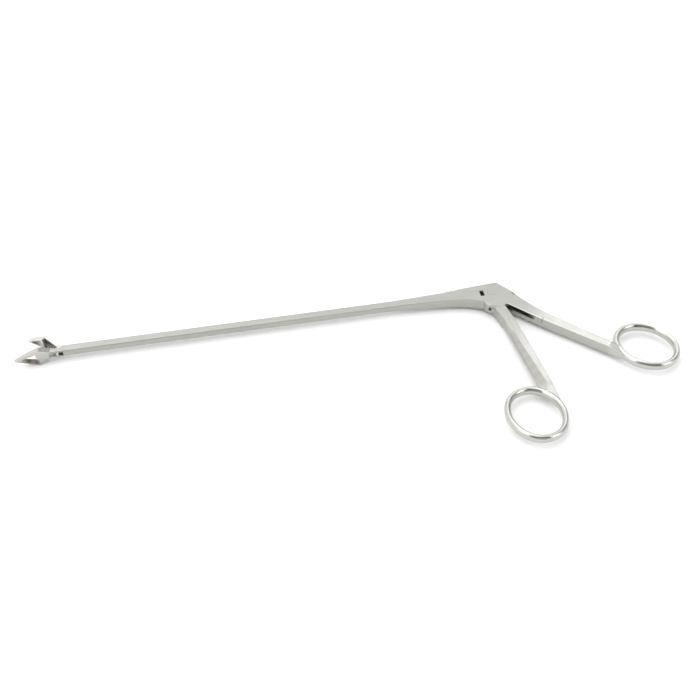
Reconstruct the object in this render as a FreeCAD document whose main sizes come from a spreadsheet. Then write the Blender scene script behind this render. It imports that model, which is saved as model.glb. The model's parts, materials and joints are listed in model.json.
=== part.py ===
import FreeCAD, Part
import os
import re
import Sketcher

# Biopsy forceps lying on their side: the shaft runs along X with the jaws at
# minus X, the ring handles hang towards minus Y, and Z is the instrument's
# width. The origin is on the handle pivot at the hub's lower side face.
# Every piece is drawn about the middle plane and lifted by half the hub.

# Driving dimensions in millimetres and degrees.
SIZES = {
    # hub and handle pivot
    "hub_thick": 5.2,
    "hub_round": 6.5,
    "hub_front_turn": 198.0,
    "hub_rear_turn": 308.0,
    "hub_corner_fore": 2.9,
    "hub_corner_rise": 4.25,
    "hub_corner_round": 2.5,
    "crown_long": 2.2,
    "crown_dip": 0.16,
    "crown_rear": 1.1,
    "crown_fall": 1.5,
    "nape_fore": 5.9,
    "nape_drop": 7.6,
    "hub_top_knee": 28.0,
    "hub_under_knee": 25.0,
    "hub_under_drop": 1.3,
    "hub_under_rear_drop": 2.15,
    "hub_under_bend": 44.0,
    "flare_start": 50.0,
    "flare_third": 38.0,
    "flare_end": 17.0,
    "flare_third_drop": 0.55,
    "flare_third_rise": 0.05,
    "pivot_pin_bore": 3.2,
    "pin_play": 0.03,
    "shoulder_gap": 0.12,
    # slot for the tongue, and the saw cut that opens it to the rear handle
    "slot_front": 4.4,
    "slot_rear": 6.4,
    "notch_x": 9.2,
    "notch_y": 1.3,
    "saw_round": 70.0,
    "saw_thick": 2.4,
    "saw_lift": 0.9,
    "saw_stop": 3.2,
    # side window and edge window of the hub
    "window_rear": 4.75,
    "window_long": 1.9,
    "window_low": 1.9,
    "window_high": 3.6,
    "nick_lean": 61.0,
    "nick_start": 0.15,
    "nick_long": 2.0,
    "nick_skin": 0.12,
    "nick_wide": 0.73,
    # shaft, its groove and the strip that closes it
    "shaft_axis_up": 5.6,
    "shaft_high": 4.0,
    "shaft_wide": 3.5,
    "shaft_edge_round": 0.7,
    "hub_edge": 0.3,
    "slot_width": 2.0,
    "slide_play": 0.05,
    "cover_thick": 1.0,
    # push rod
    "rod_high": 1.7,
    "blade_thick": 0.8,
    "blade_play": 0.05,
    "front_eye_round": 0.65,
    "front_pin_bore": 0.8,
    "rear_eye_round": 0.95,
    "rear_pin_bore": 1.2,
    "link_play": 0.04,
    "blade_rear_long": 9.0,
    "blade_front_long": 2.3,
    "blade_rear_high": 1.3,
    "guide_pin_back": 3.9,
    "guide_pin_bore": 0.8,
    "guide_pin_stand": 0.02,
    "tongue_wide": 3.0,
    "tongue_tall": 6.7,
    "tongue_eye_round": 3.65,
    "tongue_heel_turn": 238.0,
    "shoulder_front_turn": 246.0,
    "shoulder_rear_turn": 293.5,
    "rear_outer_bend": 90.0,
    # jaws
    "jaw_pivot_reach": 204.8,
    "jaw_pivot_drop": 1.0,
    "jaw_crank": 1.75,
    "jaw_open_angle": 42.0,
    "jaw_pin_bore": 1.0,
    "jaw_boss_round": 1.0,
    "nose_front": 3.0,
    "nose_rise": 1.4,
    "nose_rear": 2.1,
    "under_slot_rear": 2.8,
    "lower_long": 18.8,
    "lower_wide": 8.2,
    "lower_back": 7.7,
    "lower_tip_wide": 0.7,
    "lower_rim_tip": -1.35,
    "lower_rim_mid": 0.15,
    "lower_rim_back": 0.9,
    "lower_floor": -2.1,
    "lower_wall": 0.6,
    "lower_neck_rise": 2.1,
    "upper_long": 16.35,
    "upper_back": 7.9,
    "upper_arm_short": 2.8,
    "upper_wide": 5.6,
    "upper_tip_wide": 0.6,
    "upper_tip_drop": 1.27,
    "upper_heel_rise": 1.12,
    "upper_deep": 2.9,
    "upper_wall": 0.5,
    # ring handles
    "rear_lean": 43.54,
    "rear_knee_fore": 17.0,
    "rear_knee_drop": 18.65,
    "rear_wide": 4.8,
    "rear_bar_long": 46.8,
    "rear_ring_offset": 11.84,
    "front_lean": 84.24,
    "front_knee_x": 4.5,
    "front_knee_drop": 16.0,
    "front_bar_long": 55.3,
    "front_wide": 4.65,
    "front_belly": 5.3,
    "front_belly_run": 13.0,
    "front_ring_offset": 12.84,
    "front_ring_lean": 79.9,
    "rear_outer_run": 1.6,
    "ring_long": 27.92,
    "ring_wide": 24.14,
    "ring_end_round": 11.0,
    "ring_meet_turn": 50.2515,
    "ring_band_wide": 2.94,
    "ring_band_high": 4.26,
    "ring_reach": 3.0,
    # the neck where a bar thins into its ring, and the bevels that stop there
    "neck_long": 13.8,
    "neck_tip_high": 2.4,
    "bevel_stop": 10.3,
    "bevel_wide": 3.0,
    "bevel_deep": 2.05,
}

# Flats around the finger ring's oval section.
RING_SIDES = 20

# Lengths worked out from the driving dimensions.
WORKED = {
    "axis_y": "shaft_axis_up",
    "shaft_top": "axis_y + shaft_high / 2",
    "shaft_low": "axis_y - shaft_high / 2",
    "jaw_x": "-jaw_pivot_reach",
    "jaw_y": "axis_y - jaw_pivot_drop",
    "half_open": "jaw_open_angle / 2",
    "travel": "2 * jaw_crank * tan(half_open)",
    "swing_tan": "travel / 2 / axis_y",
    "swing_long": "sqrt(1 + swing_tan * swing_tan)",
    "link_sin": "swing_tan / swing_long",
    "link_cos": "1 / swing_long",
    "groove_floor": "axis_y - rod_high / 2 - slide_play",
    "slide_wide": "slot_width - 2 * slide_play",
    "lug_gap": "blade_thick + 2 * blade_play",
    "front_pin_x": "jaw_x + travel / 2",
    "front_pin_y": "jaw_y + jaw_crank",
    "rear_pin_x": "travel / 2",
    "rear_pin_y": "axis_y",
    "mid_z": "hub_thick / 2",
    "crown_x": "corner_x - crown_long",
    "crown_y": "corner_y - crown_dip",
    "top_slope": "(crown_y - shaft_top) / (crown_x + hub_top_knee)",
    "flare_rear_top": "shaft_top + top_slope * (hub_top_knee - flare_end)",
    "flare_mid_top": "shaft_top + top_slope * (hub_top_knee - hub_under_knee)",
    "flare_rear_low": "shaft_low - hub_under_rear_drop",
    "nape_x": "corner_x + nape_fore",
    "nape_y": "corner_y - nape_drop",
    "under_x": "hub_round * cos(hub_rear_turn)",
    "under_y": "hub_round * sin(hub_rear_turn)",
    "guide_pin_y": "groove_floor + guide_pin_stand - guide_pin_bore / 2",
    "lug_round": "jaw_crank + front_pin_bore / 2 + link_play + 0.45",
    "crank_turn": "90 + half_open",
    "crank_near": "jaw_crank - 0.06",
    "crank_far": "jaw_crank / cos(half_open) + 0.06",
    "corner_x": "hub_corner_fore",
    "corner_y": "axis_y + hub_corner_rise",
    "shoulder_round": "hub_round + shoulder_gap",
    "ring_side_round": "ring_end_round + (ring_long / 2 - ring_end_round) / cos(ring_meet_turn)",
    "rear_knee_x": "rear_knee_fore",
    "rear_knee_y": "-rear_knee_drop",
}

WORD = re.compile(r"[a-z][a-z_0-9]*")


def bound(text):
    """Spell an expression out in cells of the sheet."""
    def spell(match):
        word = match.group(0)
        if word in WORKED:
            return "(" + bound(WORKED[word]) + ")"
        if word in SIZES:
            return "Sizes." + word
        return word
    return WORD.sub(spell, str(text))


def value(text):
    """The number that an expression has now."""
    return float(sheet.evalExpression(bound(text)))


def along(x, y, lean, run, rise):
    """A point at run and rise from x, y in a frame that leans below X."""
    across = "(%s) + (%s) * cos(%s) + (%s) * sin(%s)" % (x, run, lean, rise, lean)
    up = "(%s) - (%s) * sin(%s) + (%s) * cos(%s)" % (y, run, lean, rise, lean)
    return across, up


def origin_plane(body, role):
    return [item for item in body.Origin.OriginFeatures if item.Role == role][0]


def sketch_on(body, name, role="XY_Plane", lift=None):
    sketch = body.newObject("Sketcher::SketchObject", name)
    sketch.AttachmentSupport = (origin_plane(body, role), [""])
    sketch.MapMode = "FlatFace"
    if lift is not None:
        sketch.setExpression("AttachmentOffset.Base.z", bound(lift))
    return sketch


def lock(sketch, kind, geometry, end, text):
    index = sketch.addConstraint(Sketcher.Constraint(kind, geometry, end, value(text)))
    sketch.setExpression("Constraints[%d]" % index, bound(text))


def bent_edge(start, end, side, radius):
    """The arc from start to end whose centre lies on the named side."""
    chord = end - start
    half = chord.Length / 2
    left = FreeCAD.Vector(-chord.y, chord.x, 0).normalize()
    reach = max(radius ** 2 - half ** 2, 0) ** 0.5
    toward = left if side == "left" else left * -1
    centre = (start + end) / 2 + toward * reach
    middle = centre - toward * radius
    return Part.Arc(start, middle, end)


def fix_arc(sketch, number, corner, following, chord):
    """Fix an arc's radius, or the centre of a half circle."""
    if corner[3] != "half":
        turn = sketch.addConstraint(Sketcher.Constraint("Radius", number, value(corner[3])))
        sketch.setExpression("Constraints[%d]" % turn, bound(corner[3]))
        return
    level = abs(chord.x) > abs(chord.y)
    kind = "DistanceY" if level else "DistanceX"
    pick = 1 if level else 0
    lock(sketch, kind, number, 3, "((%s) + (%s)) / 2" % (corner[pick], following[pick]))


def outline(sketch, corners):
    """Draw a closed outline. A corner is x, y, and for an arc that leaves it
    the side of its centre and its radius, or half for a half circle."""
    places = [FreeCAD.Vector(value(corner[0]), value(corner[1]), 0) for corner in corners]
    ends = []
    for index, corner in enumerate(corners):
        start = places[index]
        after = (index + 1) % len(places)
        finish = places[after]
        if len(corner) == 2:
            number = sketch.addGeometry(Part.LineSegment(start, finish))
            ends.append((number, 1, 2))
            continue
        chord = finish - start
        radius = chord.Length / 2 if corner[3] == "half" else value(corner[3])
        number = sketch.addGeometry(bent_edge(start, finish, corner[2], radius))
        first = sketch.getPoint(number, 1)
        forward = (first - start).Length < (first - finish).Length
        ends.append((number, 1, 2) if forward else (number, 2, 1))
        fix_arc(sketch, number, corner, corners[after], chord)
    for index, corner in enumerate(corners):
        before = ends[index - 1]
        here = ends[index]
        sketch.addConstraint(Sketcher.Constraint("Coincident", before[0], before[2], here[0], here[1]))
        lock(sketch, "DistanceX", here[0], here[1], corner[0])
        lock(sketch, "DistanceY", here[0], here[1], corner[1])


def box_outline(sketch, left, low, right, high):
    outline(sketch, [(left, low), (right, low), (right, high), (left, high)])


def circle(sketch, x, y, radius):
    centre = FreeCAD.Vector(value(x), value(y), 0)
    number = sketch.addGeometry(Part.Circle(centre, FreeCAD.Vector(0, 0, 1), value(radius)))
    lock(sketch, "DistanceX", number, 3, x)
    lock(sketch, "DistanceY", number, 3, y)
    turn = sketch.addConstraint(Sketcher.Constraint("Radius", number, value(radius)))
    sketch.setExpression("Constraints[%d]" % turn, bound(radius))


def pad(body, name, sketch, thick):
    """Thicken a sketch equally to both sides of its plane."""
    feature = body.newObject("PartDesign::Pad", name)
    feature.Profile = sketch
    feature.SideType = "Symmetric"
    feature.setExpression("Length", bound(thick))
    sketch.Visibility = False
    return feature


def cut(body, name, sketch, thick=None):
    """Cut a sketch equally to both sides, or right through."""
    feature = body.newObject("PartDesign::Pocket", name)
    feature.Profile = sketch
    feature.SideType = "Symmetric"
    if thick is None:
        feature.Type = "ThroughAll"
    else:
        feature.setExpression("Length", bound(thick))
    sketch.Visibility = False
    return feature


def break_edges(body, name, size, wanted):
    """Chamfer the edges of the body that the test accepts."""
    doc.recompute()
    base = body.Tip
    names = ["Edge%d" % (i + 1) for i, edge in enumerate(base.Shape.Edges) if wanted(edge)]
    feature = body.newObject("PartDesign::Chamfer", name)
    feature.Base = (base, names)
    feature.setExpression("Size", bound(size))
    return feature


def new_body(label):
    body = doc.addObject("PartDesign::Body", label)
    body.Label = label
    body.setExpression("Placement.Base.z", bound("mid_z"))
    return body


def finger_ring(body, name, x, y, lean):
    """Clear the bar's end out of the ring's eye, then revolve the band as an
    oval of four arcs: two tight ones at the ends and two broad sides."""
    turn = FreeCAD.Rotation(FreeCAD.Vector(0, 0, 1), -value(lean))
    eye = sketch_on(body, name + "_eye_line")
    eye.AttachmentOffset = FreeCAD.Placement(FreeCAD.Vector(value(x), value(y), 0), turn)
    circle(eye, "0", "0", "ring_wide / 2 + ring_band_wide / 4")
    cut(body, name + "_eye", eye)

    ends = ("ring_long / 2 - ring_end_round", "ring_end_round", "2 * ring_meet_turn")
    sides = ("ring_wide / 2 - ring_side_round", "ring_side_round", "180 - 2 * ring_meet_turn")
    for number, (offset, radius, angle) in enumerate((ends, sides, ends, sides)):
        heading = 90 * number
        toward = turn.multiply(FreeCAD.Rotation(FreeCAD.Vector(0, 0, 1), heading))
        stand = FreeCAD.Rotation(FreeCAD.Vector(1, 0, 0), 90)
        step = along(x, y, lean, "(%s) * cos(%d)" % (offset, heading), "(%s) * sin(%d)" % (offset, heading))
        section = sketch_on(body, "%s_section_%d" % (name, number + 1))
        spot = FreeCAD.Vector(value(step[0]), value(step[1]), 0)
        section.AttachmentOffset = FreeCAD.Placement(spot, toward.multiply(stand))
        flats = [360 * (side + 0.5) / RING_SIDES for side in range(RING_SIDES)]
        outline(section, [
            ("(%s) + ring_band_wide / 2 * cos(%s)" % (radius, flat), "ring_band_high / 2 * sin(%s)" % flat)
            for flat in flats
        ])
        section.Visibility = False
        arc = body.newObject("PartDesign::Revolution", "%s_arc_%d" % (name, number + 1))
        arc.Profile = section
        arc.ReferenceAxis = (section, ["V_Axis"])
        arc.Midplane = True
        arc.setExpression("Angle", bound(angle))


# The sheet of driving dimensions.
doc = FreeCAD.newDocument("biopsy_forceps")
sheet = doc.addObject("Spreadsheet::Sheet", "Sizes")
for row, (alias, number) in enumerate(SIZES.items(), start=1):
    sheet.set("A%d" % row, alias.replace("_", " "))
    sheet.set("B%d" % row, str(number))
    sheet.setAlias("B%d" % row, alias)
doc.recompute()

# Rear ring centre, seen from the knee of the rear handle.
REAR_RING = along("rear_knee_x", "rear_knee_y", "rear_lean", "rear_bar_long", "rear_ring_offset")
FRONT_RING = along("front_knee_x", "-front_knee_drop", "front_lean", "front_bar_long", "-front_ring_offset")


def top_line(drop):
    """The forging's top edge from the shaft to the rear handle, lowered."""
    knee = ("-hub_top_knee", "shaft_top - (%s)" % drop)
    corner_before = ("crown_x - (%s) * 0.3" % drop, "crown_y - (%s)" % drop)
    corner_after = (
        "corner_x + crown_rear - (%s) * 0.9" % drop,
        "corner_y - crown_fall - (%s) * 0.6" % drop,
    )
    return knee, corner_before, corner_after


def bar_neck(body, name, lean, x, y, long):
    """Thin both faces of a handle bar towards its ring."""
    turn = FreeCAD.Rotation(FreeCAD.Vector(0, 0, 1), -value(lean))
    stand = FreeCAD.Rotation(FreeCAD.Vector(1, 0, 0), 90)
    sketch = sketch_on(body, name + "_neck_line")
    spot = FreeCAD.Vector(value(x), value(y), 0)
    sketch.AttachmentOffset = FreeCAD.Placement(spot, turn.multiply(stand))
    for sign in ("", "-"):
        outline(sketch, [
            ("(%s) - neck_long" % long, sign + "hub_thick / 2"),
            ("(%s) - neck_long" % long, sign + "hub_thick"),
            (long, sign + "hub_thick"),
            (long, sign + "neck_tip_high / 2"),
            ("(%s) - ring_reach" % long, sign + "neck_tip_high / 2"),
        ])
    cut(body, name + "_neck", sketch)


def pin_hole(body, name, x, y, radius):
    sketch = sketch_on(body, name + "_line")
    circle(sketch, x, y, radius)
    return cut(body, name, sketch)


def rounded_section(body, name, x, low, high, wide, corner):
    """A rectangle with round corners that stands across the shaft at x."""
    sketch = sketch_on(body, name, "YZ_Plane", x)
    left = "-(%s) / 2" % wide
    right = "(%s) / 2" % wide
    low = "(%s)" % low
    high = "(%s)" % high
    step = " + (%s)" % corner
    back = " - (%s)" % corner
    outline(sketch, [
        (low + step, left),
        (high + back, left, "left", corner),
        (high, left + step),
        (high, right + back, "left", corner),
        (high + back, right),
        (low + step, right, "left", corner),
        (low, right + back),
        (low, left + step, "left", corner),
    ])
    return sketch


def bar_bevels(body, lean, x, y, inward, stations):
    """Grind both outer corners of a handle bar to a bevel that widens in
    steps. A station is a run along the bar, the outer edge's place across it,
    and the bevel's shares of its full width and depth."""
    for sign, word in (("1", "near"), ("-1", "far")):
        sections = []
        for number, (run, wide, across, deep) in enumerate(stations):
            sketch = body.newObject("Sketcher::SketchObject", "%s_bevel_%d" % (word, number))
            sketch.AttachmentSupport = (origin_plane(body, "XY_Plane"), [""])
            sketch.MapMode = "FlatFace"
            turn = FreeCAD.Rotation(FreeCAD.Vector(0, 0, 1), -value(lean))
            stand = FreeCAD.Rotation(FreeCAD.Vector(1, 1, 1), 120)
            place = along(x, y, lean, run, wide)
            spot = FreeCAD.Vector(value(place[0]), value(place[1]), 0)
            sketch.AttachmentOffset = FreeCAD.Placement(spot, turn.multiply(stand))
            top = "%s * hub_thick / 2" % sign
            over = "%s * (hub_thick / 2 + 1)" % sign
            outline(sketch, [
                ("-%s * bevel_wide * %s" % (inward, across), top),
                ("-%s * bevel_wide * %s" % (inward, across), over),
                ("%s * 1" % inward, over),
                ("%s * 1" % inward, "%s * (hub_thick / 2 - bevel_deep * %s)" % (sign, deep)),
                ("0", "%s * (hub_thick / 2 - bevel_deep * %s)" % (sign, deep)),
            ])
            sketch.Visibility = False
            sections.append(sketch)
        feature = body.newObject("PartDesign::SubtractiveLoft", word + "_bevel")
        feature.Profile = sections[0]
        feature.Sections = sections[1:]
        feature.Ruled = True


def forging():
    """Shaft, hub cheeks and fixed rear handle with its ring, in one piece."""
    body = new_body("shaft_and_rear_handle")
    knee, before, after = top_line("0")
    rear_bar = ("rear_knee_x", "rear_knee_y", "rear_lean")
    inner_end = along(*rear_bar, "rear_bar_long - ring_reach", "0")
    outer_end = along(*rear_bar, "rear_bar_long - ring_reach", "rear_wide")
    outer_knee = along(*rear_bar, "rear_outer_run", "rear_wide")

    shaft = rounded_section(
        body, "shaft_section", "jaw_x - nose_front", "shaft_low", "shaft_top", "shaft_wide", "shaft_edge_round"
    )
    bar = body.newObject("PartDesign::Pad", "shaft")
    bar.Profile = shaft
    bar.setExpression("Length", bound("-flare_start - jaw_x + nose_front"))

    flare = [
        rounded_section(
            body, "flare_fore", "-flare_start", "shaft_low", "shaft_top", "shaft_wide", "shaft_edge_round"
        ),
        rounded_section(
            body, "flare_third", "-flare_third", "shaft_low - flare_third_drop", "shaft_top + flare_third_rise",
            "shaft_wide * 0.6 + hub_thick * 0.4", "shaft_edge_round * 0.6 + hub_edge * 0.4"
        ),
        rounded_section(
            body, "flare_mid", "-hub_under_knee", "shaft_low - hub_under_drop", "flare_mid_top",
            "shaft_wide * 0.25 + hub_thick * 0.75", "shaft_edge_round * 0.25 + hub_edge * 0.75"
        ),
        rounded_section(
            body, "flare_rear", "-flare_end", "flare_rear_low", "flare_rear_top", "hub_thick", "hub_edge"
        ),
    ]
    loft = body.newObject("PartDesign::AdditiveLoft", "flare")
    loft.Profile = flare[0]
    loft.Sections = flare[1:]
    loft.Ruled = True

    side = sketch_on(body, "side_view")
    outline(side, [
        ("-flare_end", "flare_rear_low", "right", "hub_under_bend"),
        ("hub_round * cos(hub_front_turn)", "hub_round * sin(hub_front_turn)", "left", "hub_round"),
        ("under_x", "under_y"),
        ("rear_knee_x", "rear_knee_y"),
        inner_end,
        outer_end,
        outer_knee + ("right", "rear_outer_bend"),
        ("nape_x", "nape_y"),
        after + ("left", "hub_corner_round"),
        before,
        ("-flare_end", "flare_rear_top"),
    ])
    pad(body, "side_plate", side, "hub_thick")
    plate_start = value("-flare_end")
    plate_half = value("hub_thick / 2")

    def on_plate(edge):
        box = edge.BoundBox
        on_face = min(abs(box.ZMin), abs(box.ZMax)) > plate_half - 0.01 and box.ZLength < 0.01
        return on_face and box.XMin > plate_start + 0.5 and box.YMax < value("notch_y + 1.5")

    break_edges(body, "plate_edges", "hub_edge", on_plate)
    bar_bevels(body, "rear_lean", "rear_knee_x", "rear_knee_y", "1", [
        ("4", "rear_wide", "0.02", "0.02"),
        ("16", "rear_wide", "0.4", "0.45"),
        ("rear_bar_long - bevel_stop", "rear_wide", "0.65", "0.7"),
    ])
    bar_neck(body, "rear", "rear_lean", "rear_knee_x", "rear_knee_y", "rear_bar_long")
    finger_ring(body, "rear_ring", REAR_RING[0], REAR_RING[1], "rear_lean")

    nose = sketch_on(body, "nose_line")
    outline(nose, [
        ("jaw_x - nose_front - 1", "jaw_y + nose_rise"),
        ("jaw_x + nose_rear - 0.5", "jaw_y + nose_rise"),
        ("jaw_x + nose_rear", "jaw_y + nose_rise + 0.7"),
        ("jaw_x + nose_rear", "shaft_top + 1"),
        ("jaw_x - nose_front - 1", "shaft_top + 1"),
    ])
    cut(body, "nose_step", nose)
    groove = sketch_on(body, "groove_line")
    outline(groove, [
        ("jaw_x + under_slot_rear", "groove_floor"),
        ("jaw_x + under_slot_rear", "shaft_low - 1"),
        ("jaw_x - nose_front - 1", "shaft_low - 1"),
        ("jaw_x - nose_front - 1", "shaft_top + 1"),
        ("-hub_top_knee", "shaft_top + 1"),
        ("corner_x - 2", "corner_y + 1"),
        ("corner_x + 2", "corner_y + 0.5"),
        ("notch_x + 0.5", "notch_y + 0.9"),
        ("notch_x - 0.4", "notch_y - 0.7"),
        ("slot_rear", "-slot_rear / 2"),
        ("slot_rear", "-hub_round - 3"),
        ("-slot_front", "-hub_round - 3"),
        ("-slot_front", "groove_floor"),
    ])
    cut(body, "groove", groove, "slot_width")
    saw_cut(body)
    nick = sketch_on(body, "edge_window_line")
    nick_frame = ("nape_x", "nape_y", "nick_lean")
    nick_end = "nick_start + nick_long"
    outline(nick, [
        along(*nick_frame, "nick_start", "-nick_skin"),
        along(*nick_frame, "nick_start", "-nick_skin - nick_wide"),
        along(*nick_frame, nick_end, "-nick_skin - nick_wide"),
        along(*nick_frame, nick_end, "-nick_skin"),
    ])
    cut(body, "edge_window", nick)
    window = sketch_on(body, "window_line")
    box_outline(window, "-window_rear - window_long", "window_low", "-window_rear", "window_low + window_high")
    cut(body, "window", window)
    pin_hole(body, "pivot_hole", "0", "0", "pivot_pin_bore / 2")
    pin_hole(body, "jaw_pin_hole", "jaw_x", "jaw_y", "jaw_pin_bore / 2")
    pin_hole(body, "guide_pin_hole", "jaw_x + guide_pin_back", "guide_pin_y", "guide_pin_bore / 2")
    return body


def saw_cut(body):
    """The curved cut that runs on from the slot under the rear handle. It
    lies nearer to the upper side face, whose cheek is thin there."""
    sketch = sketch_on(body, "saw_line", "XY_Plane", "saw_lift")
    stop_share = "saw_stop / sqrt((rear_knee_x - under_x) ^ 2 + (rear_knee_y - under_y) ^ 2)"
    stop_x = "rear_knee_x - (rear_knee_x - under_x) * %s" % stop_share
    stop_y = "rear_knee_y - (rear_knee_y - under_y) * %s" % stop_share
    outline(sketch, [
        ("under_x + 1", "-hub_round / 3"),
        ("under_x", "-hub_round - 2"),
        ("(%s) - 2" % stop_x, "(%s) - 2" % stop_y),
        ("(%s) - 0.3" % stop_x, "(%s) - 0.3" % stop_y, "left", "saw_round"),
        ("notch_x - 0.4", "notch_y - 0.7"),
    ])
    cut(body, "saw_cut", sketch, "saw_thick")


def groove_cover():
    """The strip brazed flush into the groove's mouth over the push rod."""
    body = new_body("groove_cover")
    side = sketch_on(body, "side_view")
    knee, before, after = top_line("0")
    low_knee, low_before, low_after = top_line("cover_thick")
    outline(side, [
        ("jaw_x + nose_rear", "shaft_top"),
        ("jaw_x + nose_rear", "shaft_top - cover_thick"),
        low_knee,
        low_before + ("right", "hub_corner_round - 1"),
        low_after,
        ("notch_x - 1.3", "notch_y + 0.4"),
        ("notch_x - 0.32", "notch_y + 1.0"),
        after + ("left", "hub_corner_round"),
        before,
        knee,
    ])
    pad(body, "strip", side, "slot_width")
    return body


def flush_pin(label, x, y, radius, long):
    body = new_body(label)
    sketch = sketch_on(body, "round")
    circle(sketch, x, y, radius)
    pad(body, "pin", sketch, long)
    return body


def push_rod():
    """The flat rod in the groove, thinned to an eye at both ends."""
    body = new_body("push_rod")
    bar = sketch_on(body, "bar_line")
    low = "axis_y - rod_high / 2"
    high = "axis_y + rod_high / 2"
    front = "front_pin_x + blade_front_long"
    rear = "rear_pin_x - blade_rear_long"
    box_outline(bar, front, low, rear, high)
    pad(body, "bar", bar, "slide_wide")
    eye_high = "front_pin_y + front_eye_round"
    eye_low = "front_pin_y - front_eye_round"
    blade = sketch_on(body, "front_blade_line")
    outline(blade, [
        (front + " + 1", low),
        (front + " + 1", high),
        (front + " - 0.9", high),
        (front + " - 1.45", eye_high),
        ("front_pin_x", eye_high, "left", "half"),
        ("front_pin_x", eye_low),
        (front + " - 0.9", eye_low),
        (front + " - 0.2", low),
    ])
    pad(body, "front_blade", blade, "blade_thick")
    blade = sketch_on(body, "rear_blade_line")
    outline(blade, [
        (rear + " - 1", "axis_y - blade_rear_high / 2"),
        ("rear_pin_x - rear_eye_round", "axis_y - blade_rear_high / 2"),
        ("rear_pin_x", "axis_y - rear_eye_round", "left", "half"),
        ("rear_pin_x", "axis_y + rear_eye_round"),
        ("rear_pin_x - rear_eye_round", "axis_y + blade_rear_high / 2"),
        (rear + " - 1", "axis_y + blade_rear_high / 2"),
    ])
    pad(body, "rear_blade", blade, "blade_thick")
    pin_hole(body, "front_hole", "front_pin_x", "front_pin_y", "front_pin_bore / 2")
    pin_hole(body, "rear_hole", "rear_pin_x", "rear_pin_y", "rear_pin_bore / 2")
    return body


def front_handle():
    """The moving handle: tongue in the hub slot, bar, and finger ring."""
    body = new_body("front_handle")
    side = sketch_on(body, "side_view")
    front_bar = ("front_knee_x", "-front_knee_drop", "front_lean")
    fore = ("shoulder_round * cos(shoulder_front_turn)", "shoulder_round * sin(shoulder_front_turn)")
    outline(side, [
        fore + ("left", "shoulder_round"),
        ("shoulder_round * cos(shoulder_rear_turn)", "shoulder_round * sin(shoulder_rear_turn)"),
        ("front_knee_x", "-front_knee_drop"),
        along(*front_bar, "front_bar_long - ring_reach", "0"),
        along(*front_bar, "front_bar_long - ring_reach", "-front_belly"),
        along(*front_bar, "front_belly_run", "-front_belly"),
        along(*front_bar, "0", "-front_wide"),
    ])
    pad(body, "bar", side, "hub_thick")
    bar_bevels(body, "front_lean", "front_knee_x", "-front_knee_drop", "-1", [
        ("0.5", "-front_wide - 0.025", "0.02", "0.02"),
        ("front_belly_run / 2", "-(front_wide + front_belly) / 2", "0.3", "0.4"),
        ("front_belly_run", "-front_belly", "0.62", "0.73"),
        ("front_belly_run * 2", "-front_belly", "0.88", "0.9"),
        ("front_bar_long - bevel_stop", "-front_belly", "1", "1"),
    ])
    bar_neck(body, "front", "front_lean", "front_knee_x", "-front_knee_drop", "front_bar_long")
    finger_ring(body, "front_ring", FRONT_RING[0], FRONT_RING[1], "front_ring_lean")
    tongue = sketch_on(body, "tongue_line")
    tip_left = turned("-tongue_wide / 2", "tongue_tall")
    tip_right = turned("tongue_wide / 2", "tongue_tall")
    hip_left = turned("-tongue_wide / 2", "3.4")
    hip_right = turned("tongue_wide / 2", "3.4")
    outline(tongue, [
        tip_right,
        tip_left,
        hip_left,
        turned("-tongue_eye_round", "1.6"),
        turned("-tongue_eye_round", "-3.4"),
        ("hub_round * cos(tongue_heel_turn)", "hub_round * sin(tongue_heel_turn)"),
        ("front_knee_x - front_wide + 0.6", "-hub_round - 2.5"),
        ("front_knee_x - 1.2", "-hub_round - 2.5"),
        turned("tongue_eye_round", "-4.0"),
        turned("tongue_eye_round + 0.4", "1.6"),
        hip_right,
    ])
    pad(body, "tongue", tongue, "slide_wide")
    gap = sketch_on(body, "blade_gap_line")
    outline(gap, [
        turned("-5", "4.15"),
        turned("5", "4.15"),
        turned("5", "tongue_tall + 2"),
        turned("-5", "tongue_tall + 2"),
    ])
    cut(body, "blade_gap", gap, "lug_gap")
    fork = sketch_on(body, "pin_fork_line")
    half = "(rear_pin_bore / 2 + link_play)"
    outline(fork, [
        turned(half, "axis_y"),
        turned(half, "tongue_tall + 2"),
        turned("-" + half, "tongue_tall + 2"),
        turned("-" + half, "axis_y") + ("left", "half"),
    ])
    cut(body, "pin_fork", fork)
    pin_hole(body, "pivot_hole", "0", "0", "pivot_pin_bore / 2 + pin_play")
    return body


def turned(x, y):
    """A point of the tongue, which leans back by half the handle's swing."""
    across = "(%s) * link_cos + (%s) * link_sin" % (x, y)
    up = "(%s) * link_cos - (%s) * link_sin" % (y, x)
    return across, up


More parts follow.
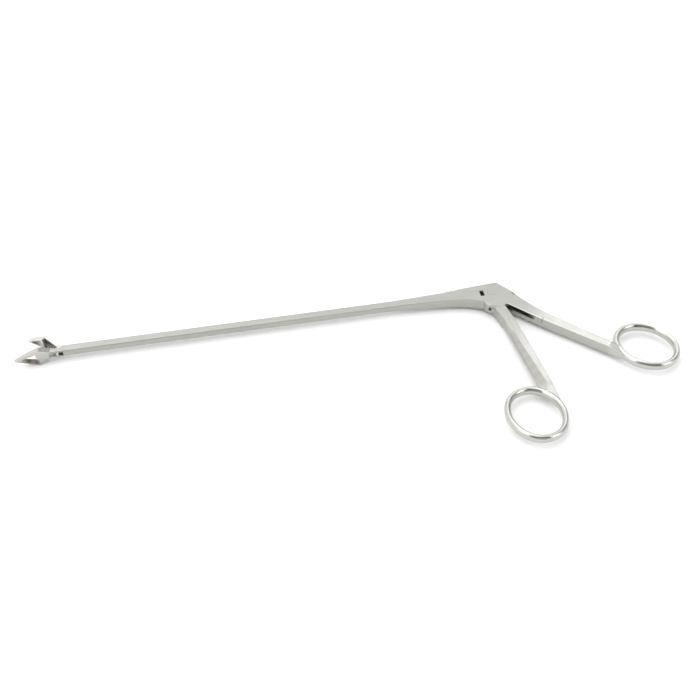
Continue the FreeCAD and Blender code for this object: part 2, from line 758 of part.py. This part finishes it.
def lower_jaw():
    """The fixed basket jaw: a pointed open tray with a window in its floor."""
    body = new_body("lower_jaw")
    side = sketch_on(body, "side_view")
    outline(side, [
        ("jaw_x - nose_front", "shaft_low"),
        ("jaw_x - nose_front", "jaw_y + nose_rise"),
        ("jaw_x - lower_back + 2.2", "jaw_y + lower_neck_rise"),
        ("jaw_x - lower_back + 0.6", "jaw_y + lower_rim_back"),
        ("jaw_x - lower_back - 6.2", "jaw_y + lower_rim_mid"),
        ("jaw_x - lower_long", "jaw_y + lower_rim_tip"),
        ("jaw_x - lower_long", "jaw_y + lower_floor + 0.25"),
        ("jaw_x - lower_long + 0.9", "jaw_y + lower_floor"),
        ("jaw_x - lower_back", "jaw_y + lower_floor"),
    ])
    pad(body, "block", side, "lower_wide")
    for sign, word in (("", "near"), ("-", "far")):
        plan = sketch_on(body, word + "_plan", "XZ_Plane")
        outline(plan, [
            ("jaw_x - lower_long", sign + "lower_tip_wide / 2"),
            ("jaw_x - lower_back", sign + "lower_wide / 2"),
            ("jaw_x - nose_front", sign + "shaft_wide / 2"),
            ("jaw_x - nose_front", sign + "lower_wide"),
            ("jaw_x - lower_long", sign + "lower_wide"),
        ])
        cut(body, word + "_flank", plan)
    tray = sketch_on(body, "tray_line", "XZ_Plane", "-jaw_y - 3")
    front = "jaw_x - lower_long + 1.5"
    back = "jaw_x - lower_back - 0.75"
    outline(tray, [
        (front, "-0.16"),
        (back, "-lower_wide / 2 + lower_wall + 0.32"),
        (back, "lower_wide / 2 - lower_wall - 0.32"),
        (front, "0.16"),
    ])
    feature = body.newObject("PartDesign::Pocket", "tray")
    feature.Profile = tray
    feature.setExpression("Length", bound("3 - lower_floor - lower_wall"))
    feature.Reversed = True
    slot = sketch_on(body, "arm_slot_line")
    box_outline(slot, "jaw_x - lower_back - 1", "jaw_y - 1.05", "jaw_x", "jaw_y + 6")
    cut(body, "arm_slot", slot, "slot_width")
    window = sketch_on(body, "window_line", "XZ_Plane", "-jaw_y")
    outline(window, [
        ("jaw_x - lower_long + 3.2", "-0.2"),
        ("jaw_x - lower_back - 1.5", "-lower_wide / 2 + lower_wall + 1.0"),
        ("jaw_x - lower_back - 1.5", "lower_wide / 2 - lower_wall - 1.0"),
        ("jaw_x - lower_long + 3.2", "0.2"),
    ])
    cut(body, "floor_window", window)
    return body


def upper_jaw():
    """The moving cutting jaw, drawn closed about its pivot, set open."""
    body = new_body("upper_jaw")
    body.setExpression("Placement.Base.x", bound("jaw_x"))
    body.setExpression("Placement.Base.y", bound("jaw_y"))
    roof = "upper_heel_rise + upper_deep"
    side = sketch_on(body, "side_view")
    outline(side, [
        ("-upper_long", "-upper_tip_drop"),
        ("-upper_back - 1.3", "upper_heel_rise"),
        ("-upper_back - 0.1", "upper_heel_rise + 1.15"),
        ("-upper_arm_short", "upper_heel_rise + 1.25"),
        ("-upper_arm_short + 0.5", roof + " - 0.2"),
        ("-upper_arm_short - 1.4", roof + " - 0.35"),
        ("-upper_back + 1.8", roof + " - 0.4"),
        ("-upper_back", roof + " + 0.1"),
        ("-upper_back - 0.8", roof + " + 0.1"),
        ("-upper_long + 0.9", "-upper_tip_drop + upper_deep"),
        ("-upper_long + 0.1", "-upper_tip_drop + 0.7"),
    ])
    pad(body, "cup_block", side, "upper_wide")
    for sign, word in (("", "near"), ("-", "far")):
        plan = sketch_on(body, word + "_plan", "XZ_Plane")
        outline(plan, [
            ("-upper_long", sign + "upper_tip_wide / 2"),
            ("-upper_back - 1.3", sign + "upper_wide / 2"),
            ("-upper_back - 0.1", sign + "upper_wide / 2"),
            ("-upper_arm_short", sign + "slide_wide / 2"),
            ("-upper_arm_short + 3", sign + "slide_wide / 2"),
            ("-upper_arm_short + 3", sign + "upper_wide"),
            ("-upper_long", sign + "upper_wide"),
        ])
        cut(body, word + "_flank", plan)
    cavity = sketch_on(body, "cavity_line", "XZ_Plane", "upper_tip_drop + 2")
    front = "-upper_long + 1.3"
    back = "-upper_back - 1.0"
    outline(cavity, [
        (front, "-0.12"),
        (back, "-upper_wide / 2 + upper_wall"),
        (back, "upper_wide / 2 - upper_wall"),
        (front, "0.12"),
    ])
    feature = body.newObject("PartDesign::Pocket", "cavity")
    feature.Profile = cavity
    feature.setExpression("Length", bound("2 + upper_deep - upper_wall"))
    arm = sketch_on(body, "arm_line")
    outline(arm, [
        ("jaw_boss_round * cos(20)", "jaw_boss_round * sin(20)"),
        ("lug_round * cos(86)", "lug_round * sin(86)"),
        ("-1.5", "jaw_crank + 1.9"),
        ("-upper_arm_short + 0.5", "upper_heel_rise + upper_deep - 0.2"),
        ("-upper_arm_short - 1.4", "upper_heel_rise + upper_deep - 0.35"),
        ("-upper_back + 1.6", "upper_heel_rise + upper_deep - 0.5"),
        ("-upper_back - 0.3", "upper_heel_rise + upper_deep"),
        ("-upper_back - 0.3", "upper_heel_rise + 0.5"),
        ("-3.6", "0.1"),
        ("jaw_boss_round * cos(230)", "jaw_boss_round * sin(230)", "left", "jaw_boss_round"),
    ])
    pad(body, "arm", arm, "slide_wide")
    gap = sketch_on(body, "blade_gap_line")
    gap_round = "(jaw_boss_round + blade_play)"
    gap_end = "-front_eye_round - 1.0"
    outline(gap, [
        (gap_end, gap_round + " * sin(10)"),
        ("-" + gap_round + " * cos(10)", gap_round + " * sin(10)", "right", gap_round),
        (gap_round + " * cos(60)", gap_round + " * sin(60)"),
        ("4", gap_round + " * sin(60)"),
        ("4", "8"),
        (gap_end, "8"),
    ])
    cut(body, "blade_gap", gap, "lug_gap")
    radial = sketch_on(body, "pin_slot_line")
    half = "(front_pin_bore / 2 + link_play)"
    near = ("crank_near * cos(crank_turn)", "crank_near * sin(crank_turn)")
    far = ("crank_far * cos(crank_turn)", "crank_far * sin(crank_turn)")
    step_x = half + " * sin(crank_turn)"
    step_y = half + " * cos(crank_turn)"
    outline(radial, [
        (near[0] + " + " + step_x, near[1] + " - " + step_y),
        (far[0] + " + " + step_x, far[1] + " - " + step_y, "left", "half"),
        (far[0] + " - " + step_x, far[1] + " + " + step_y),
        (near[0] + " - " + step_x, near[1] + " + " + step_y, "left", "half"),
    ])
    cut(body, "pin_slot", radial)
    pin_hole(body, "pivot_hole", "0", "0", "jaw_pin_bore / 2 + pin_play")
    body.setExpression("Placement.Rotation.Angle", bound("-jaw_open_angle"))
    return body


bodies = [
    forging(),
    groove_cover(),
    flush_pin("handle_pivot_pin", "0", "0", "pivot_pin_bore / 2", "hub_thick"),
    flush_pin("jaw_pivot_pin", "jaw_x", "jaw_y", "jaw_pin_bore / 2", "shaft_wide"),
    flush_pin("rod_guide_pin", "jaw_x + guide_pin_back", "guide_pin_y", "guide_pin_bore / 2", "shaft_wide"),
    push_rod(),
    flush_pin("front_link_pin", "front_pin_x", "front_pin_y", "front_pin_bore / 2", "slide_wide"),
    flush_pin("rear_link_pin", "rear_pin_x", "rear_pin_y", "rear_pin_bore / 2", "slide_wide"),
    front_handle(),
    lower_jaw(),
    upper_jaw(),
]

doc.recompute()
for item in doc.Objects:
    if "Invalid" in item.State or "Error" in item.State:
        raise RuntimeError("%s did not build" % item.Name)
os.makedirs("parts", exist_ok=True)
for body in bodies:
    shape = body.Shape
    if shape.isNull() or not shape.isValid() or len(shape.Solids) != 1:
        raise RuntimeError("%s is not one sound solid" % body.Label)
    shape.exportStep("parts/%s.step" % body.Label)
    print(body.Label, round(shape.Volume, 2))
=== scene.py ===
import json
import math
from collections import namedtuple

import bpy
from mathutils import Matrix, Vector


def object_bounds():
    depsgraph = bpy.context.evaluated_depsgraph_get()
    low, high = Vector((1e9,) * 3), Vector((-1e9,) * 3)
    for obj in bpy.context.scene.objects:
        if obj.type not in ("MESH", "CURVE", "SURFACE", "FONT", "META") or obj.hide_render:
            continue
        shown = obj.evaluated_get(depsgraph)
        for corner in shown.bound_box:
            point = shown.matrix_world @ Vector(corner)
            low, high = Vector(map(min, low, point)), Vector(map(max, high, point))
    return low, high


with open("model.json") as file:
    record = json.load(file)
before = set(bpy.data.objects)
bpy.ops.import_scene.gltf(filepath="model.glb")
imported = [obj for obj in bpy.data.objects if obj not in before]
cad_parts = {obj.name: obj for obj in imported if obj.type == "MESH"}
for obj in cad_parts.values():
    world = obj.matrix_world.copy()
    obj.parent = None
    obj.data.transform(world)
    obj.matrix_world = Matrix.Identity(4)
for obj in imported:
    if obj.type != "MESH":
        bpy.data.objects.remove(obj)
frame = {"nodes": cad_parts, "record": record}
cad_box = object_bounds()
nodes = frame["nodes"]
record = frame["record"]
scene = bpy.context.scene

# Places taken from the frame
mounts = {mount["name"]: Vector(mount["pos_m"]) for mount in record["mounts"]}
joints = {joint["name"]: joint for joint in record["behaviour"]["joints"]}
FRONT_RING = mounts["front_finger_ring"]
REAR_RING = mounts["rear_finger_ring"]
HANDLE_PIVOT = Vector(joints["handle_pivot"]["pos_m"])
JAW_PIVOT = Vector(joints["jaw_pivot"]["pos_m"])
JAW_OPEN = math.radians(-joints["jaw_pivot"]["range_deg"][1])

# Camera at the photograph's viewing angle
TARGET = Vector((-0.07403, -0.01898, 0.0026))
CAMERA_PLACE = Vector((-0.14105, -0.3631, 0.3591))
LENS_MM = 56.57
SENSOR_MM = 36.0
CLIP_START = 0.01
CLIP_END = 20.0


def face_target(name, data, place):
    """A new camera or lamp that stands at a place and faces the target."""
    thing = bpy.data.objects.new(name, data)
    thing.location = place
    thing.rotation_mode = "QUATERNION"
    thing.rotation_quaternion = (TARGET - Vector(place)).to_track_quat("-Z", "Y")
    scene.collection.objects.link(thing)
    return thing


camera_data = bpy.data.cameras.new("camera")
camera_data.lens = LENS_MM
camera_data.sensor_width = SENSOR_MM
camera_data.clip_start = CLIP_START
camera_data.clip_end = CLIP_END
scene.camera = face_target("camera", camera_data, CAMERA_PLACE)
scene.view_settings.view_transform = "Standard"


class Graph:
    """A short way to add and join the nodes of one material or world."""

    def __init__(self, tree):
        self.tree = tree
        self.tree.nodes.clear()

    def add(self, kind, inputs=None, **settings):
        node = self.tree.nodes.new(kind)
        for name, setting in settings.items():
            setattr(node, name, setting)
        for name, source in (inputs or {}).items():
            socket = node.inputs[name]
            if isinstance(source, bpy.types.NodeSocket):
                self.tree.links.new(source, socket)
            else:
                socket.default_value = source
        return node

    def math(self, operation, first, second=0.0):
        return self.add("ShaderNodeMath", {0: first, 1: second}, operation=operation).outputs[0]

    def total(self, first, *others):
        for other in others:
            first = self.math("ADD", first, other)
        return first

    def product(self, first, *others):
        for other in others:
            first = self.math("MULTIPLY", first, other)
        return first

    def ramp(self, factor, stops):
        node = self.add("ShaderNodeValToRGB", {"Fac": factor})
        points = node.color_ramp.elements
        while len(points) < len(stops):
            points.new(0.5)
        for point, (place, shade) in zip(points, stops):
            point.position = place
            point.color = (shade, shade, shade, 1.0)
        return node.outputs["Color"]

    def span(self, source, edge, ends, smooth=False):
        """Carry a value from one range over to another, held at both ends."""
        node = self.add(
            "ShaderNodeMapRange",
            {"Value": source, "From Min": edge[0], "From Max": edge[1], "To Min": ends[0], "To Max": ends[1]},
            interpolation_type="SMOOTHSTEP" if smooth else "LINEAR",
        )
        return node.outputs["Result"]

    def rise(self, source, edge):
        return self.span(source, edge, (0.0, 1.0), smooth=True)

    def fall(self, source, edge):
        return self.span(source, edge, (1.0, 0.0), smooth=True)

    def blend(self, factor, first, second):
        node = self.add("ShaderNodeMix", {"Factor": factor, 2: first, 3: second}, data_type="FLOAT")
        return node.outputs[0]

    def blend_colour(self, factor, first, second):
        node = self.add("ShaderNodeMix", {"Factor": factor, 6: first, 7: second}, data_type="RGBA")
        return node.outputs[2]

    def scaled(self, colour, amount):
        node = self.add("ShaderNodeVectorMath", {0: colour, 3: amount}, operation="SCALE")
        return node.outputs[0]

    def distance(self, place, centre):
        node = self.add("ShaderNodeVectorMath", {0: place, 1: centre}, operation="DISTANCE")
        return node.outputs["Value"]

    def turned(self, place, lean):
        """A place seen along a direction, which is a turn from +X in radians."""
        node = self.add("ShaderNodeVectorRotate", {"Vector": place, "Angle": -lean}, rotation_type="Z_AXIS")
        return node.outputs["Vector"]


# World light by direction: heights and headings are parts of a unit vector, turns are radians
TENT = [(0.0, 0.50), (0.3, 0.60), (0.55, 0.63), (0.75, 0.69), (1.0, 1.0)]
TENT_LEVEL = 1.22
OPENING_TURN = -0.20
OPENING_SIDE = (0.52, 0.80)
OPENING_TOP = (0.90, 0.99)
OPENING_SHADE = 0.27
PANEL_INNER = (0.66, 0.80)
PANEL_OUTER = (1.15, 1.45)
PANEL_TOP = (0.75, 0.92)
PANEL_CROSSING = (-0.4, 0.4)
PANEL_LEVELS = (1.2, 2.7)
CANOPY_NEAR = (0.10, 0.30)
CANOPY_LOW = (0.76, 0.84)
WINDOW_EDGE = (-0.12, 0.22)
WINDOW_LEVELS = (1.9, 0.84)
HORIZON = (0.05, 0.08)
WHITE = (1.0, 1.0, 1.0, 1.0)


def studio_world():
    """A soft tent, brightest overhead and towards a window on the left. It
    opens towards the dark room on the camera's side, with a bright panel on
    each side of that opening. Polished steel mirrors these as a dark patch
    between two bright ones. Below the horizon's edge it is white."""
    world = bpy.data.worlds.new("studio")
    world.use_nodes = True
    sky = Graph(world.node_tree)
    direction = sky.add("ShaderNodeTexCoord").outputs["Generated"]
    heading = sky.add("ShaderNodeSeparateXYZ", {"Vector": direction}).outputs
    across, away, height = heading["X"], heading["Y"], heading["Z"]
    turn = sky.math("ARCTAN2", across, sky.math("MULTIPLY", away, -1.0))
    beside = sky.math("ABSOLUTE", sky.math("SUBTRACT", turn, OPENING_TURN))
    opening = sky.product(sky.fall(beside, OPENING_SIDE), sky.fall(height, OPENING_TOP))
    panel = sky.product(
        sky.rise(beside, PANEL_INNER), sky.fall(beside, PANEL_OUTER), sky.fall(height, PANEL_TOP)
    )
    canopy = sky.product(sky.rise(away, CANOPY_NEAR), sky.rise(height, CANOPY_LOW))
    window = sky.span(across, WINDOW_EDGE, WINDOW_LEVELS, smooth=True)
    panel_level = sky.span(across, PANEL_CROSSING, PANEL_LEVELS)
    lit = sky.total(window, sky.product(panel, panel_level), canopy)
    open_shade = sky.blend(opening, 1.0, OPENING_SHADE)
    lit = sky.product(lit, open_shade, TENT_LEVEL, sky.ramp(height, TENT))
    strength = sky.blend(sky.fall(height, HORIZON), lit, 1.0)
    light = sky.add("ShaderNodeBackground", {"Color": WHITE, "Strength": strength})
    sky.add("ShaderNodeOutputWorld", {"Surface": light.outputs["Background"]})
    return world


scene.world = studio_world()

# Soft box behind and above, which the upper faces mirror
SOFT_BOX_PLACE = (0.40, 0.60, 0.73)
SOFT_BOX_SIZE = (0.34, 0.26)
SOFT_BOX_POWER = 0.52
lamp = bpy.data.lights.new("soft_box", "AREA")
lamp.shape = "RECTANGLE"
lamp.size, lamp.size_y = SOFT_BOX_SIZE
lamp.energy = SOFT_BOX_POWER
face_target("soft_box", lamp, SOFT_BOX_PLACE)

# Floor: a pale sheet that shows white where no shadow falls
FLOOR_REACH = 12.0
FLOOR_GAP = 0.0001
PAPER_WHITE = (0.95, 0.95, 0.95, 1.0)


def paper():
    material = bpy.data.materials.new("white_paper")
    material.use_nodes = True
    sheet = Graph(material.node_tree)
    matt = sheet.add("ShaderNodeBsdfDiffuse", {"Color": PAPER_WHITE})
    sheet.add("ShaderNodeOutputMaterial", {"Surface": matt.outputs["BSDF"]})
    return material


def pale_floor():
    """A wide square sheet just under the instrument."""
    level = cad_box[0].z - FLOOR_GAP
    corners = [(-1, -1), (1, -1), (1, 1), (-1, 1)]
    mesh = bpy.data.meshes.new("floor")
    mesh.from_pydata([(x * FLOOR_REACH, y * FLOOR_REACH, level) for x, y in corners], [], [(0, 1, 2, 3)])
    mesh.materials.append(paper())
    floor = bpy.data.objects.new("floor", mesh)
    scene.collection.objects.link(floor)
    return floor


pale_floor()

# Finish of the steel
FINE_LINES = 2600.0
BROAD_LINES = 650.0
LINE_STRETCH = (0.05, 1.0, 1.0)
LINE_DETAIL = 4.0
LINE_CONTRAST = 0.6
HAZE_SCALE = 120.0
HAZE_DETAIL = 5.0
HAZE_CONTRAST = 0.55
NOISE_RANGE = (0.3, 0.7)
HAZE_SHADES = (0.0, -0.04)
BAND_SHADES = (0.97, 1.05)
LINE_ROUGHS = (-0.04, 0.04)
HAZE_ROUGHS = (-0.02, 0.03)
MARK_BEND = 1.5
MARK_DETAIL = 2.0
EDGE_SOFTNESS = 0.0003
EDGE_SAMPLES = 4
LINE_DEPTH = 0.00002
BEHIND_HUB = (0.002, 0.008)

# A round place with a shine of its own: it begins to fade at near and ends at far. Its gain scales the
# steel's colour there, which is painted light where it is above 1
Shine = namedtuple("Shine", "centre near far rough gain")

# A box with a tint, roughness and tool marks of its own, whose tint is mostly painted shade: half and soft
# are its half sizes and soft edges
Patch = namedtuple("Patch", "centre lean half soft tint rough marks depth")


def brushed(graph, place, lean, scale):
    """Lines that run along one direction."""
    turned = graph.turned(place, lean)
    stretched = graph.add("ShaderNodeMapping", {"Vector": turned, "Scale": LINE_STRETCH}).outputs["Vector"]
    noise = graph.add(
        "ShaderNodeTexNoise",
        {"Vector": stretched, "Scale": scale, "Detail": LINE_DETAIL, "Roughness": LINE_CONTRAST},
    )
    return noise.outputs["Fac"]


def brushed_both_ways(graph, place, leans, scale):
    """Lines that run one way before the hub and another way behind it."""
    fore, aft = leans
    lines = brushed(graph, place, fore, scale)
    if aft != fore:
        along = graph.add("ShaderNodeSeparateXYZ", {"Vector": place}).outputs["X"]
        lines = graph.blend(graph.rise(along, BEHIND_HUB), lines, brushed(graph, place, aft, scale))
    return lines


def lay_patch(graph, place, patch, colour, rough):
    """The colour and roughness with one patch laid over them."""
    moved = graph.add("ShaderNodeVectorMath", {0: place, 1: patch.centre}, operation="SUBTRACT").outputs[0]
    inside = graph.turned(moved, patch.lean)
    sides = graph.add("ShaderNodeSeparateXYZ", {"Vector": inside})
    falls = []
    for side, half, soft in zip("XYZ", patch.half, patch.soft):
        past = graph.math("SUBTRACT", graph.math("ABSOLUTE", sides.outputs[side]), half)
        falls.append(graph.span(past, (-soft, soft), (1.0, 0.0)))
    mask = graph.product(*falls)
    marks = graph.add(
        "ShaderNodeTexWave",
        {"Vector": inside, "Scale": patch.marks, "Distortion": MARK_BEND, "Detail": MARK_DETAIL},
    )
    shades = graph.span(marks.outputs["Fac"], (0.0, 1.0), (1.0 - patch.depth, 1.0 + patch.depth))
    colour = graph.blend_colour(mask, colour, graph.scaled(patch.tint, shades))
    return colour, graph.blend(mask, rough, patch.rough)


def steel(name, tint, polish, grain, leans=(0.0, 0.0), shines=(), patches=()):
    """Stainless steel. Polish is its roughness, grain is the depth of the
    brushed lines and leans are their directions before and behind the hub."""
    material = bpy.data.materials.new(name)
    material.use_nodes = True
    graph = Graph(material.node_tree)
    place = graph.add("ShaderNodeTexCoord").outputs["Object"]
    lines = brushed_both_ways(graph, place, leans, FINE_LINES)
    bands = brushed_both_ways(graph, place, leans, BROAD_LINES)
    haze = graph.add(
        "ShaderNodeTexNoise",
        {"Vector": place, "Scale": HAZE_SCALE, "Detail": HAZE_DETAIL, "Roughness": HAZE_CONTRAST},
    ).outputs["Fac"]
    rough = polish
    haze_shade = graph.span(haze, NOISE_RANGE, HAZE_SHADES)
    reflect = graph.total(haze_shade, graph.span(bands, NOISE_RANGE, BAND_SHADES))
    for shine in shines:
        fade = graph.fall(graph.distance(place, shine.centre), (shine.near, shine.far))
        rough = graph.blend(fade, rough, shine.rough)
        # A gain above 1 lightens the colour: painted light
        reflect = graph.product(reflect, graph.blend(fade, 1.0, shine.gain))
    line_rough = graph.span(lines, NOISE_RANGE, LINE_ROUGHS)
    rough = graph.total(rough, line_rough, graph.span(haze, NOISE_RANGE, HAZE_ROUGHS))
    colour = graph.scaled(tint, reflect)
    for patch in patches:
        colour, rough = lay_patch(graph, place, patch, colour, rough)
    soft_edge = graph.add("ShaderNodeBevel", {"Radius": EDGE_SOFTNESS}, samples=EDGE_SAMPLES)
    bump = graph.add(
        "ShaderNodeBump",
        {"Strength": grain, "Distance": LINE_DEPTH, "Height": lines, "Normal": soft_edge.outputs["Normal"]},
    )
    shader = graph.add(
        "ShaderNodeBsdfPrincipled",
        {"Base Color": colour, "Metallic": 1.0, "Roughness": rough, "Normal": bump.outputs["Normal"]},
    )
    graph.add("ShaderNodeOutputMaterial", {"Surface": shader.outputs["BSDF"]})
    return material


# Polished places: the middle of each handle bar and the two finger rings. On the rings the gain also lightens
# the steel's colour: painted light
REAR_LEAN = math.radians(-43.5)
FRONT_LEAN = math.radians(-84.0)
BAR_ROUGH = 0.22
RING_REACH = (0.0158, 0.0190)
RING_ROUGH = 0.19
RING_PAINTED_LIGHT_GAIN = 1.18
front_bar = Shine(HANDLE_PIVOT + Vector((0.0078, -0.045, 0.0)), 0.010, 0.048, BAR_ROUGH, 1.0)
rear_bar = Shine(HANDLE_PIVOT + Vector((0.0330, -0.030, 0.0)), 0.012, 0.036, BAR_ROUGH, 1.0)
front_ring = Shine(FRONT_RING, *RING_REACH, RING_ROUGH, RING_PAINTED_LIGHT_GAIN)
rear_ring = Shine(REAR_RING, *RING_REACH, RING_ROUGH, RING_PAINTED_LIGHT_GAIN)
polished = (front_bar, rear_bar, front_ring, rear_ring)

# Patches: a scribed line, and painted shade on the slot's end, the front handle's bevel, the upper jaw's arm
# and the lower jaw
scribed_line = Patch(
    centre=HANDLE_PIVOT + Vector((-0.0014, 0.0023, 0.0026)),
    lean=math.radians(-11.0),
    half=(0.0021, 0.0001, 0.0004),
    soft=(0.0004, 0.0001, 0.0001),
    tint=(0.17, 0.17, 0.155),
    rough=0.5,
    marks=100.0,
    depth=0.2,
)
# Painted shade: a thin dark strip where the slot in the rear handle ends
slot_end_painted_shade = Patch(
    centre=HANDLE_PIVOT + Vector((0.0168, -0.0190, 0.0016)),
    lean=REAR_LEAN,
    half=(0.0002, 0.0016, 0.0011),
    soft=(0.0002, 0.0002, 0.0006),
    tint=(0.24, 0.23, 0.21),
    rough=0.5,
    marks=100.0,
    depth=0.2,
)
# Painted shade: a darker, warmer tint on the front handle's bevel, with faint grinding marks
bevel_painted_shade = Patch(
    centre=HANDLE_PIVOT + Vector((0.0026, -0.0410, 0.0015)),
    lean=math.radians(-81.5),
    half=(0.0178, 0.0015, 0.0013),
    soft=(0.0030, 0.0002, 0.0002),
    tint=(0.365, 0.36, 0.335),
    rough=0.44,
    marks=60.0,
    depth=0.04,
)
# Painted shade: a very dark tint on the upper jaw's arm, with tool marks
jaw_arm_painted_shade = Patch(
    centre=JAW_PIVOT + Vector((-0.0031, 0.0046, 0.0)),
    lean=JAW_OPEN,
    half=(0.0038, 0.0011, 0.0040),
    soft=(0.0002, 0.0002, 0.0002),
    tint=(0.125, 0.11, 0.10),
    rough=0.38,
    marks=224.0,
    depth=0.4,
)
# Painted shade: a dark brownish tint on the lower jaw towards its tip
jaw_tip_painted_shade = Patch(
    centre=JAW_PIVOT + Vector((-0.0130, -0.0026, -0.0022)),
    lean=0.0,
    half=(0.0048, 0.0040, 0.0014),
    soft=(0.0006, 0.0006, 0.0006),
    tint=(0.21, 0.18, 0.155),
    rough=0.26,
    marks=70.0,
    depth=0.4,
)

# Materials
STEEL = (0.43, 0.43, 0.405)
# Painted light: the upper jaw wears a much lighter copy of the steel, to brighten its roof
UPPER_JAW_LIT_STEEL = (0.62, 0.61, 0.58)
LOWER_JAW_STEEL = (0.48, 0.475, 0.45)
ROD_STEEL = (0.38, 0.38, 0.37)
SATIN_ROUGH = 0.46
satin_steel = steel(
    "satin_steel", STEEL, SATIN_ROUGH, 0.25, (0.0, REAR_LEAN), polished, (scribed_line, slot_end_painted_shade)
)
handle_steel = steel(
    "handle_steel", STEEL, SATIN_ROUGH, 0.25, (FRONT_LEAN, FRONT_LEAN), polished, (bevel_painted_shade,)
)
upper_jaw_lit_steel = steel(
    "upper_jaw_lit_steel", UPPER_JAW_LIT_STEEL, 0.14, 0.10, (JAW_OPEN, JAW_OPEN), patches=(jaw_arm_painted_shade,)
)
lower_jaw_steel = steel("lower_jaw_steel", LOWER_JAW_STEEL, 0.18, 0.10, patches=(jaw_tip_painted_shade,))
rod_steel = steel("rod_steel", ROD_STEEL, 0.24, 0.20)
pin_steel = steel("pin_steel", STEEL, SATIN_ROUGH, 0.20)

# What each piece is made of
WORN_BY = {
    "shaft_and_rear_handle": satin_steel,
    "groove_cover": satin_steel,
    "front_handle": handle_steel,
    "upper_jaw": upper_jaw_lit_steel,
    "lower_jaw": lower_jaw_steel,
    "push_rod": rod_steel,
    "handle_pivot_pin": pin_steel,
    "jaw_pivot_pin": pin_steel,
    "rod_guide_pin": pin_steel,
    "front_link_pin": pin_steel,
    "rear_link_pin": pin_steel,
}
for node_name, material in WORN_BY.items():
    piece_mesh = nodes[node_name].data
    piece_mesh.materials.clear()
    piece_mesh.materials.append(material)
